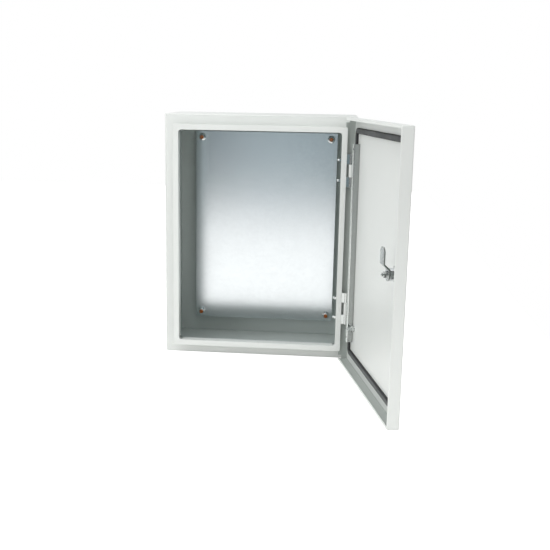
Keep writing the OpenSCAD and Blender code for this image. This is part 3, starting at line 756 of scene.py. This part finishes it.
class ENCLOSURE_OT_body(bpy.types.Operator):
    """Finishes the folded body, its back panel and its knock-outs"""

    bl_idname = "enclosure.body"
    bl_label = "Body"

    def execute(self, context):
        edge = context.scene.enclosure_detail.sheet_edge
        low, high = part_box("front_frame")
        inner_low, inner_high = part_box("front_lip")
        back = high.y + 0.05 * MM

        def folded_on(first, second):
            """Whether an edge lies where the sheet folds on from one piece to the next."""
            ends = (first, second)
            across = all(
                abs(p.x) > high.x - 0.05 * MM or abs(p.z) > high.z - 0.05 * MM for p in ends)
            mitre = all(
                abs(abs(p.x) - high.x - abs(p.z) + high.z) < 0.12 * MM for p in ends)
            root = all(inner_low.y + 1.6 * MM < p.y < back for p in ends)
            return (across or mitre or root) and all(p.y < back for p in ends)

        for node in ("body_shell", "front_frame", "front_lip"):
            dress(node, "powder_coat_body", edge, held=folded_on)
        dress("back_panel", "powder_coat_body", 0.2 * MM)
        dress("knockout_blanks", "powder_coat_body", 0.2 * MM)
        self.lance_shade_marks()
        return {"FINISHED"}

    def lance_shade_marks(self):
        """Slivers standing proud each side of a closed knock-out, dark as painted shade."""
        low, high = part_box("knockout_blanks")
        floor_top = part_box("body_shell")[0].z + SHEET
        blank = (high.y - low.y) / 2
        radius, pitch = blank + 0.5 * MM, (high.x - low.x) / 2 - blank
        sides, steps = [], 6
        for start in (24, 136, 204, 316):
            rings = []
            for i in range(steps + 1):
                a = math.radians(start + 20 * i / steps)
                rise = 0.3 * MM + 1.2 * MM * math.sin(math.pi * i / steps)
                rings.append([Vector((r * math.cos(a), r * math.sin(a), z)) for r, z in (
                    (radius - 0.9 * MM, -0.3 * MM), (radius + 0.9 * MM, -0.3 * MM),
                    (radius + 0.5 * MM, rise), (radius - 0.5 * MM, rise))])
            sides.append(ring_skin("lance_shade_mark", rings))
        mesh = joined("lance_shade_marks", sides)
        set_out("knockout_burrs", mesh, "painted_lance_shade", "body_paint", "cabinet", (),
                ((low.x + high.x) / 2 - pitch, (low.y + high.y) / 2, floor_top),
                (3, (pitch, 0, 0)), (1, (0, 0, 0)))


class ENCLOSURE_OT_tacks(bpy.types.Operator):
    """Adds the small tack welds along the back panel's edges"""

    bl_idname = "enclosure.tacks"
    bl_label = "Tack welds"

    def execute(self, context):
        low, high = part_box("back_panel")
        count = context.scene.enclosure_detail.tack_count
        bead = []
        for height, width in ((0, 1.7), (0.35, 1.55), (0.7, 1.1), (0.95, 0.5)):
            bead.append([
                Vector((2.0 * width * math.cos(a) * MM, width * math.sin(a) * MM, height * MM))
                for a in (2 * math.pi * i / 20 for i in range(20))])
        mesh = ring_skin("tack", bead)
        mesh.transform(Matrix.Rotation(math.radians(45), 4, "X"))
        inside = 0.9 * MM
        first = Vector((low.x + 42 * MM, low.y - inside * 0.2, low.z + inside * 0.2))
        step = (high.x - low.x - 84 * MM) / (count - 1)
        set_out("tack_welds", mesh, "powder_coat_body", "body_paint", "cabinet", (),
                first, (count, (step, 0, 0)), (1, (0, 0, 0)))
        return {"FINISHED"}


class ENCLOSURE_OT_plate(bpy.types.Operator):
    """Finishes the galvanised mounting plate and the sleeves behind it"""

    bl_idname = "enclosure.plate"
    bl_label = "Mounting plate"

    def execute(self, context):
        dress("mounting_plate", "hot_dip_galvanised", 0.3 * MM)
        dress("plate_spacers", "bright_zinc_plate", 0.2 * MM)
        return {"FINISHED"}


class ENCLOSURE_OT_plate_fasteners(bpy.types.Operator):
    """Sets out the studs, washers and nuts at the plate's corners"""

    bl_idname = "enclosure.plate_fasteners"
    bl_label = "Plate fasteners"

    def execute(self, context):
        stud_low, stud_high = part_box("plate_studs")
        washer_low, washer_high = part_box("plate_washers")
        nut_low, nut_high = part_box("plate_nuts")
        radius = 4 * MM
        pitch_x = stud_high.x - stud_low.x - 2 * radius
        pitch_z = stud_high.z - stud_low.z - 2 * radius
        out = (0, -1, 0)

        def corners(name, mesh, finish_name, slot, node, y, turn=0.0):
            stood_at(mesh, (0, 0, 0), out)
            set_out(name, mesh, finish_name, slot, "cabinet", (node,),
                    (-pitch_x / 2, y, -pitch_z / 2), (2, (pitch_x, 0, 0)), (2, (0, 0, pitch_z)),
                    turn)

        length = stud_high.y - stud_low.y
        corners("weld_studs", threaded_rod("stud", radius, 0, length, 1.25 * MM, 24 * MM),
                "copper_flashed_steel", "coppered_steel", "plate_studs", stud_high.y)
        corners("stud_washers",
                washer_piece("washer", 8 * MM, 4.2 * MM, washer_high.y - washer_low.y),
                "bright_zinc_plate", "zinc_plate", "plate_washers", washer_high.y)
        corners("stud_nuts", hex_piece("nut", 13 * MM, nut_high.y - nut_low.y, radius),
                "bright_zinc_plate", "zinc_plate", "plate_nuts", nut_high.y, turn=1.0)
        return {"FINISHED"}


class ENCLOSURE_OT_hinges(bpy.types.Operator):
    """Finishes the plated hinge leaves, their pins, screws and nuts"""

    bl_idname = "enclosure.hinges"
    bl_label = "Hinges"

    def execute(self, context):
        edge = context.scene.enclosure_detail.hardware_edge
        for node in ("hinge_leaf_upper", "hinge_leaf_lower", "hinge_pin_upper", "hinge_pin_lower"):
            dress(node, "bright_zinc_plate", edge)
        dress("hinge_screws", "bright_zinc_plate", 0.15 * MM)
        low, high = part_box("hinge_nuts")
        upper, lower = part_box("hinge_leaf_upper"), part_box("hinge_leaf_lower")
        flats, pitch = 8 * MM, 41 * MM
        first = (lower[0].z + lower[1].z) / 2 - pitch / 2
        spread_z = upper[0].z - lower[0].z
        mesh = stood_at(hex_piece("nut", flats, high.x - low.x, 2.5 * MM), (0, 0, 0), (-1, 0, 0))
        set_out("hinge_screw_nuts", mesh, "bright_zinc_plate", "zinc_plate", "cabinet",
                ("hinge_nuts",), (high.x, (low.y + high.y) / 2, first),
                (2, (0, 0, spread_z)), (2, (0, 0, pitch)))
        return {"FINISHED"}


class ENCLOSURE_OT_door(bpy.types.Operator):
    """Finishes the folded door and its knuckles"""

    bl_idname = "enclosure.door"
    bl_label = "Door"

    def execute(self, context):
        edge = context.scene.enclosure_detail.sheet_edge
        dress("door_shell", "powder_coat_door", edge)
        for node in ("door_knuckle_upper", "door_knuckle_lower"):
            dress(node, "powder_coat_light_grey", 0.3 * MM)
        return {"FINISHED"}


class ENCLOSURE_OT_stiffener(bpy.types.Operator):
    """Folds the galvanised channel that stiffens the door"""

    bl_idname = "enclosure.stiffener"
    bl_label = "Stiffener"

    def execute(self, context):
        left, width, rise, sheet = 147.5 * MM, 11 * MM, 12.5 * MM, SHEET
        half, bend, hole_end, hole_r = 199.5 * MM, 2.2 * MM, 10 * MM, 2.5 * MM

        def corner(cx, cy, radius, start):
            """Points round one bend of the channel's section."""
            return [(cx + radius * math.cos(math.radians(start + a)),
                     cy + radius * math.sin(math.radians(start + a))) for a in range(0, 91, 15)]

        inner = bend - sheet
        section = [(width, 0), (width, sheet)]
        section += list(reversed(corner(sheet + inner, sheet + inner, inner, 180)))
        section += list(reversed(corner(sheet + inner, rise - sheet - inner, inner, 90)))
        section += [(width, rise - sheet), (width, rise)]
        section += corner(bend, rise - bend, bend, 90)
        section += corner(bend, bend, bend, 180)
        rings = [[Vector((left + u, DOOR_SKIN + v, z)) for u, v in section] for z in (-half, half)]
        channel = bpy.data.objects.new("channel", ring_skin("channel", rings))
        context.scene.collection.objects.link(channel)
        cutters = []
        for side in (-1, 1):
            punch = ring_skin("punch", [ring(32, 0, hole_r), ring(32, 4 * MM, hole_r)])
            punch.transform(Matrix.Translation((
                left + width / 2, DOOR_SKIN + rise + 1 * MM, side * (half - hole_end)))
                @ Matrix.Rotation(math.pi / 2, 4, "X"))
            cutter = bpy.data.objects.new("punch", punch)
            context.scene.collection.objects.link(cutter)
            cutters.append(cutter)
            cut = channel.modifiers.new("hole", "BOOLEAN")
            cut.operation = "DIFFERENCE"
            cut.solver = "EXACT"
            cut.object = cutter
        mesh = on_door(softened(baked(channel), 0.3 * MM))
        for cutter in cutters:
            bpy.data.objects.remove(cutter)
        obj = new_object("stiffener_channel", mesh, "galvanised_strip", "door")
        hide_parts("door_stiffener")
        return {"FINISHED"}


class ENCLOSURE_OT_gasket(bpy.types.Operator):
    """Pours the foam bead round the inside of the door"""

    bl_idname = "enclosure.gasket"
    bl_label = "Gasket"

    def execute(self, context):
        width = context.scene.enclosure_detail.gasket_width
        foot, crown = DOOR_SKIN, GASKET_CROWN - DOOR_SKIN
        half_w, half_h, radius = 169.5 * MM, 224.5 * MM, 7 * MM
        path = []
        for cx, cz, start in ((1, 1, 0), (-1, 1, 90), (-1, -1, 180), (1, -1, 270)):
            for i in range(9):
                a = math.radians(start + 90 * i / 8)
                out = Vector((math.cos(a), 0, math.sin(a)))
                path.append((Vector((cx * (half_w - radius), 0, cz * (half_h - radius)))
                             + out * radius, out))
        line = []
        for (p, n), (q, m) in zip(path, path[1:] + path[:1]):
            steps = max(1, round((q - p).length / (12 * MM)))
            line += [(p.lerp(q, i / steps), n.lerp(m, i / steps).normalized())
                     for i in range(steps)]
        rings = []
        for k, (p, out) in enumerate(line):
            # The poured bead breathes a little along its run.
            swell = 1 - 0.02 * (1 + math.sin(k * 0.61)) - 0.015 * (1 + math.sin(k * 0.23 + 1))
            section = []
            for i in range(17):
                a = math.pi * i / 16
                u = math.copysign(abs(math.cos(a)) ** 0.45, math.cos(a)) * width / 2 * swell
                v = math.sin(a) ** 0.5 * crown * swell
                section.append(Vector((p.x + out.x * u, foot + v, p.z + out.z * u)))
            rings.append(section)
        mesh = on_door(ring_skin("gasket_bead", rings, looped=True))
        obj = new_object("gasket_bead", mesh, "foamed_polyurethane", "door")
        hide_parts("door_gasket")
        return {"FINISHED"}


class ENCLOSURE_OT_earth_point(bpy.types.Operator):
    """Adds the door's earth stud with its washers and nuts"""

    bl_idname = "enclosure.earth_point"
    bl_label = "Earth point"

    def execute(self, context):
        foot = TO_OPEN @ Vector((139 * MM, DOOR_SKIN, -169 * MM))
        stud = stood_at(
            threaded_rod("earth_stud", 3 * MM, 0, 18 * MM, 1 * MM, 2 * MM), foot, INWARD)
        obj = new_object("earth_stud", stud, "bright_zinc_plate", "door")
        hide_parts("door_earth_stud")
        washers, nuts = [], []
        for i in range(2):
            rise = i * 6.2 * MM
            washers.append(stood_at(
                washer_piece("w", 6 * MM, 3.1 * MM, 1.2 * MM), foot + INWARD * rise, INWARD))
            nuts.append(stood_at(
                hex_piece("n", 10 * MM, 5 * MM, 3 * MM), foot + INWARD * (rise + 1.2 * MM),
                INWARD, 0.4 * i))
        obj = new_object("earth_washers", joined("earth_washers", washers), "bright_zinc_plate",
                         "door")
        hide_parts("door_earth_washers")
        obj = new_object("earth_nuts", joined("earth_nuts", nuts), "bright_zinc_plate",
                         "door")
        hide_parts("door_earth_nuts")
        return {"FINISHED"}


class ENCLOSURE_OT_lock(bpy.types.Operator):
    """Finishes the lock's housing, nut, insert and tongue"""

    bl_idname = "enclosure.lock"
    bl_label = "Lock"

    def execute(self, context):
        edge = context.scene.enclosure_detail.hardware_edge
        dress("lock_housing", "chrome_plated_casting", 0.4 * MM)
        dress("lock_seal", "nitrile_rubber", 0.15 * MM)
        dress("lock_washer", "bright_zinc_plate", edge)
        dress("lock_spindle", "bright_zinc_plate", edge)
        dress("lock_cam", "dull_zinc_plate", 0.4 * MM)
        dress("lock_cam_washer", "bright_zinc_plate", 0.2 * MM)
        dress("lock_cam_bolt", "bright_zinc_plate", edge)
        dress("lock_cam_nut", "bright_zinc_plate", edge)
        joint = JOINTS["lock_turn"]
        inward = -Vector(joint["axis"])
        skin = Vector(joint["pos_m"])
        nut = stood_at(hex_piece("lock_nut_chamfered", 27 * MM, 5 * MM, 11 * MM),
                       skin + inward * 1.5 * MM, inward, math.radians(30))
        obj = new_object("lock_nut_chamfered", nut, "bright_zinc_plate", "door")
        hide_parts("lock_nut")
        return {"FINISHED"}


class ENCLOSURE_OT_stage(bpy.types.Operator):
    """Sets the pale floor, the soft lamps and the camera"""

    bl_idname = "enclosure.stage"
    bl_label = "Studio"

    def execute(self, context):
        stage = context.scene.enclosure_stage
        low, high = cad_box
        floor_material, tree = new_material("pale_floor")
        path = add_node(tree, "ShaderNodeLightPath").outputs
        mirror = add_node(tree, "ShaderNodeMath", {
            0: path["Is Glossy Ray"], 1: path["Is Transmission Ray"]}, operation="MAXIMUM")
        seen = add_node(tree, "ShaderNodeMath", {
            0: path["Is Camera Ray"], 1: 0.82}, operation="MULTIPLY")
        mirrored = add_node(tree, "ShaderNodeMath", {
            0: mirror.outputs["Value"], 1: 0.26}, operation="MULTIPLY")
        strength = add_node(tree, "ShaderNodeMath", {
            0: seen.outputs["Value"], 1: mirrored.outputs["Value"]}, operation="MAXIMUM")
        matt = add_node(tree, "ShaderNodeBsdfDiffuse", {"Color": linear("#F4F4F2")})
        glow = add_node(tree, "ShaderNodeEmission", {
            "Color": WHITE, "Strength": strength.outputs["Value"]})
        both = add_node(tree, "ShaderNodeAddShader", {
            0: matt.outputs["BSDF"], 1: glow.outputs["Emission"]})
        add_node(tree, "ShaderNodeOutputMaterial", {"Surface": both.outputs["Shader"]})
        sheet = bmesh.new()
        front, back, left, right = -stage.floor_reach, 3.0, -2.0, 0.65
        corners = [(left, front), (right, front), (right, back), (left, back)]
        sheet.faces.new([sheet.verts.new((x, y, low[2])) for x, y in corners])
        mesh = bpy.data.meshes.new("studio_floor")
        sheet.to_mesh(mesh)
        sheet.free()
        mesh.materials.append(floor_material)
        floor = bpy.data.objects.new("studio_floor", mesh)
        context.scene.collection.objects.link(floor)

        world = bpy.data.worlds.new("studio")
        context.scene.world = world
        world.use_nodes = True
        tree = world.node_tree
        tree.nodes.clear()
        path = add_node(tree, "ShaderNodeLightPath").outputs
        way = add_node(tree, "ShaderNodeTexCoord").outputs["Generated"]
        xyz = add_node(tree, "ShaderNodeSeparateXYZ", {"Vector": way}).outputs
        # Bare metal mirrors the room by compass: 0 and 1 lie behind the enclosure, 0.5 in front.
        ahead = add_node(tree, "ShaderNodeMath", {0: xyz["Y"], 1: -1.0}, operation="MULTIPLY")
        angle = add_node(tree, "ShaderNodeMath", {
            0: xyz["X"], 1: ahead.outputs["Value"]}, operation="ARCTAN2")
        bearing = add_node(tree, "ShaderNodeMath", {
            0: angle.outputs["Value"], 1: 0.5 / math.pi, 2: 0.5}, operation="MULTIPLY_ADD")
        ramp = add_node(tree, "ShaderNodeValToRGB", {"Fac": bearing.outputs["Value"]})
        front, flank, flag = (
            linear(c) for c in (stage.room_front, stage.room_flank, stage.room_flags))
        wall, back = WHITE, linear("#A8ACAC")
        stops = ((0.00, back), (0.06, wall), (0.15, wall), (0.18, flag), (0.33, flag),
                 (0.36, wall), (0.41, wall), (0.43, flag), (0.474, flag), (0.481, front),
                 (0.488, front), (0.502, flank), (0.60, flank), (0.64, flag), (0.67, wall),
                 (0.75, wall), (0.78, flag), (0.88, flag), (0.91, wall), (0.94, wall),
                 (1.00, back))
        for place, colour in stops[1:-1]:
            ramp.color_ramp.elements.new(place).color = colour
        ramp.color_ramp.elements[0].color = ramp.color_ramp.elements[-1].color = back
        mirror = add_node(tree, "ShaderNodeMath", {
            0: path["Is Glossy Ray"], 1: path["Is Transmission Ray"]}, operation="MAXIMUM")
        light = add_node(tree, "ShaderNodeMix", {
            FACTOR: mirror.outputs["Value"], LOW: (*[stage.room_light] * 3, 1),
            HIGH: ramp.outputs["Color"]}, data_type="RGBA")
        shown = add_node(tree, "ShaderNodeMix", {
            FACTOR: path["Is Camera Ray"], LOW: light.outputs[MIXED], HIGH: WHITE},
            data_type="RGBA")
        sky = add_node(tree, "ShaderNodeBackground", {
            "Color": shown.outputs[MIXED], "Strength": 1.0})
        add_node(tree, "ShaderNodeOutputWorld", {"Surface": sky.outputs["Background"]})

        middle, door_foot = (0, -0.2, 0), (0.27, -0.56, -0.26)
        for name, place, aim, size, beam, power in (
                ("overhead", (-0.4, -0.8, 2.1), middle, 2.0, 180, stage.overhead_power),
                ("left", (-1.8, -2.2, 0.2), middle, 1.5, 180, stage.left_power),
                ("right", (1.8, -2.2, 0.2), middle, 1.5, 180, stage.right_power),
                ("low", (0.62, -0.95, -0.2), door_foot, 0.2, 90, stage.low_power)):
            data = bpy.data.lights.new(name, "AREA")
            data.energy = power
            data.size = size
            data.spread = math.radians(beam)
            lamp = bpy.data.objects.new(name, data)
            lamp.location = place
            aside = Vector(aim) - Vector(place)
            lamp.rotation_euler = aside.to_track_quat("-Z", "Y").to_euler()
            lamp.visible_camera = False
            lamp.visible_glossy = name == "overhead"
            context.scene.collection.objects.link(lamp)

        data = bpy.data.cameras.new("camera")
        data.sensor_width = 36
        data.lens = 55.47
        data.shift_x = 0.0219
        data.shift_y = -0.0054
        camera = bpy.data.objects.new("camera", data)
        tilt, roll, yaw = (math.radians(a) for a in (-11.95, -0.99, 5.03))
        turn = (Matrix.Rotation(yaw, 4, "Z") @ Matrix.Rotation(tilt, 4, "X")
                @ Matrix.Rotation(roll, 4, "Y") @ Matrix.Rotation(math.pi / 2, 4, "X"))
        camera.matrix_world = Matrix.Translation((0.16134, -1.89251, 0.29397)) @ turn
        context.scene.collection.objects.link(camera)
        context.scene.camera = camera
        context.scene.view_settings.view_transform = "Standard"
        return {"FINISHED"}


PIECES = (
    ENCLOSURE_OT_body, ENCLOSURE_OT_tacks, ENCLOSURE_OT_plate, ENCLOSURE_OT_plate_fasteners,
    ENCLOSURE_OT_hinges, ENCLOSURE_OT_door, ENCLOSURE_OT_stiffener, ENCLOSURE_OT_gasket,
    ENCLOSURE_OT_earth_point, ENCLOSURE_OT_lock, ENCLOSURE_OT_stage)


class ENCLOSURE_PT_panel(bpy.types.Panel):
    """Lists the enclosure's pieces and settings"""

    bl_idname = "ENCLOSURE_PT_panel"
    bl_label = "Wall enclosure"
    bl_space_type = "VIEW_3D"
    bl_region_type = "UI"
    bl_category = "Enclosure"

    def draw(self, context):
        for group in ("enclosure_finish", "enclosure_detail", "enclosure_stage"):
            settings = getattr(context.scene, group)
            for name in settings.__annotations__:
                self.layout.prop(settings, name)
        for piece in PIECES:
            self.layout.operator(piece.bl_idname)


GROUPS = (
    ("enclosure_finish", EnclosureFinish),
    ("enclosure_detail", EnclosureDetail),
    ("enclosure_stage", EnclosureStage))


def register():
    for name, group in GROUPS:
        bpy.utils.register_class(group)
        setattr(bpy.types.Scene, name, bpy.props.PointerProperty(type=group))
    for cls in (*PIECES, ENCLOSURE_PT_panel):
        bpy.utils.register_class(cls)


def unregister():
    for cls in reversed((*PIECES, ENCLOSURE_PT_panel)):
        bpy.utils.unregister_class(cls)
    for name, group in reversed(GROUPS):
        delattr(bpy.types.Scene, name)
        bpy.utils.unregister_class(group)


def main():
    register()
    for piece in PIECES:
        getattr(bpy.ops.enclosure, piece.bl_idname.split(".")[1])()


if __name__ == "__main__":
    main()
